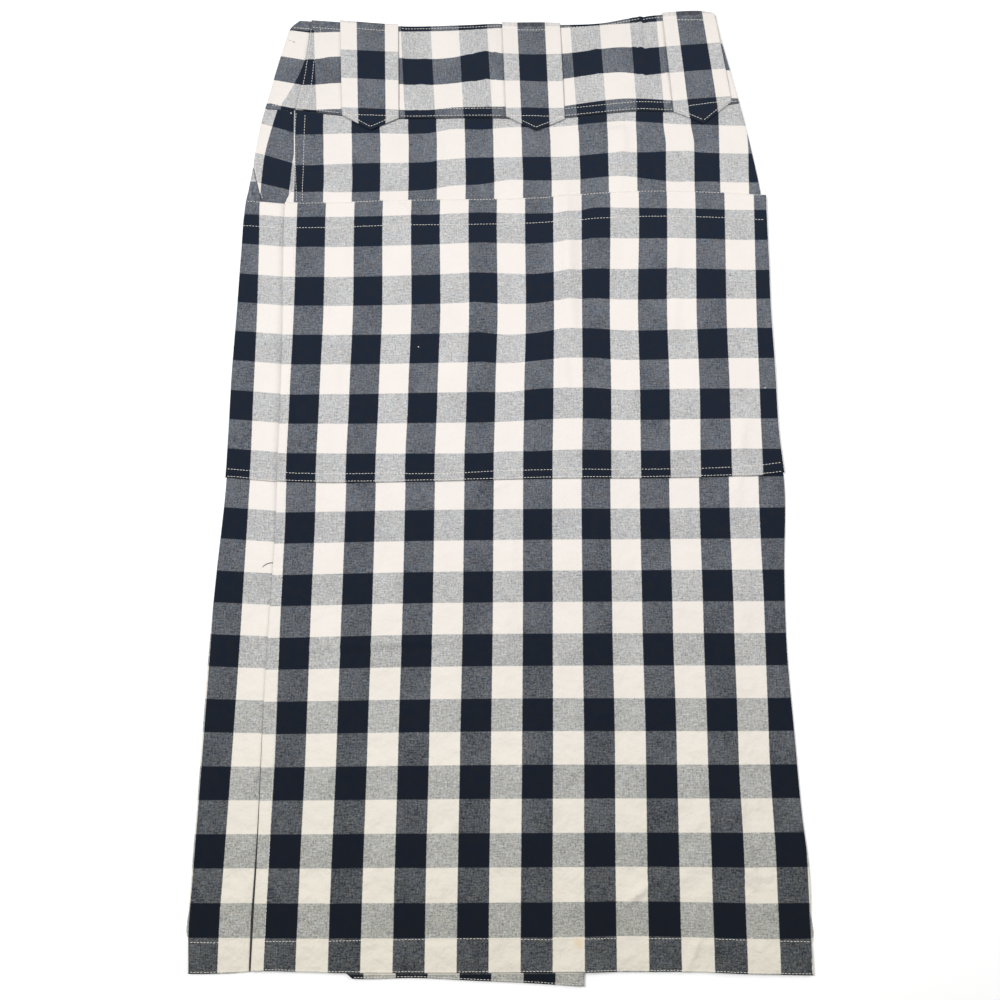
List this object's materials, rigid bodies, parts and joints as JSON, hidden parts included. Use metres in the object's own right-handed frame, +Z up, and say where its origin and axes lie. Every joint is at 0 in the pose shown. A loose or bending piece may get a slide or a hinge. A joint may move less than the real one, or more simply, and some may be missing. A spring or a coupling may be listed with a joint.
{
  "type": "wrap skirt laid flat",
  "caption": "Long wrap skirt in checked cotton laid flat, with a deep waistband, pointed belt loops, a full-width patch pocket and an underlap.",
  "frame": {"origin": "middle of the underside of the laid skirt", "axes": "+X is the viewer's right, +Y points from the hem to the waist, +Z is up from the surface the skirt lies on"},
  "size_m": [0.498, 0.829, 0.0091],
  "materials": {
    "checked_cotton": "matt woven cotton, navy and cream gingham, 25 mm checks",
    "loop_cotton": "matt woven cotton, navy and cream gingham, folded double",
    "stitching": "matt cream sewing thread"
  },
  "bodies": {
    "root": {"back_panel": "checked_cotton", "back_waistband": "checked_cotton", "underlap_panel": "checked_cotton", "underlap_yoke": "checked_cotton", "underlap_waistband": "checked_cotton", "hip_pocket": "checked_cotton", "side_patch": "checked_cotton", "front_panel": "checked_cotton", "front_patch": "checked_cotton", "front_waistband": "checked_cotton", "belt_loop_left": "loop_cotton", "belt_loop_middle": "loop_cotton", "belt_loop_right": "loop_cotton"}
  },
  "joints": []
}
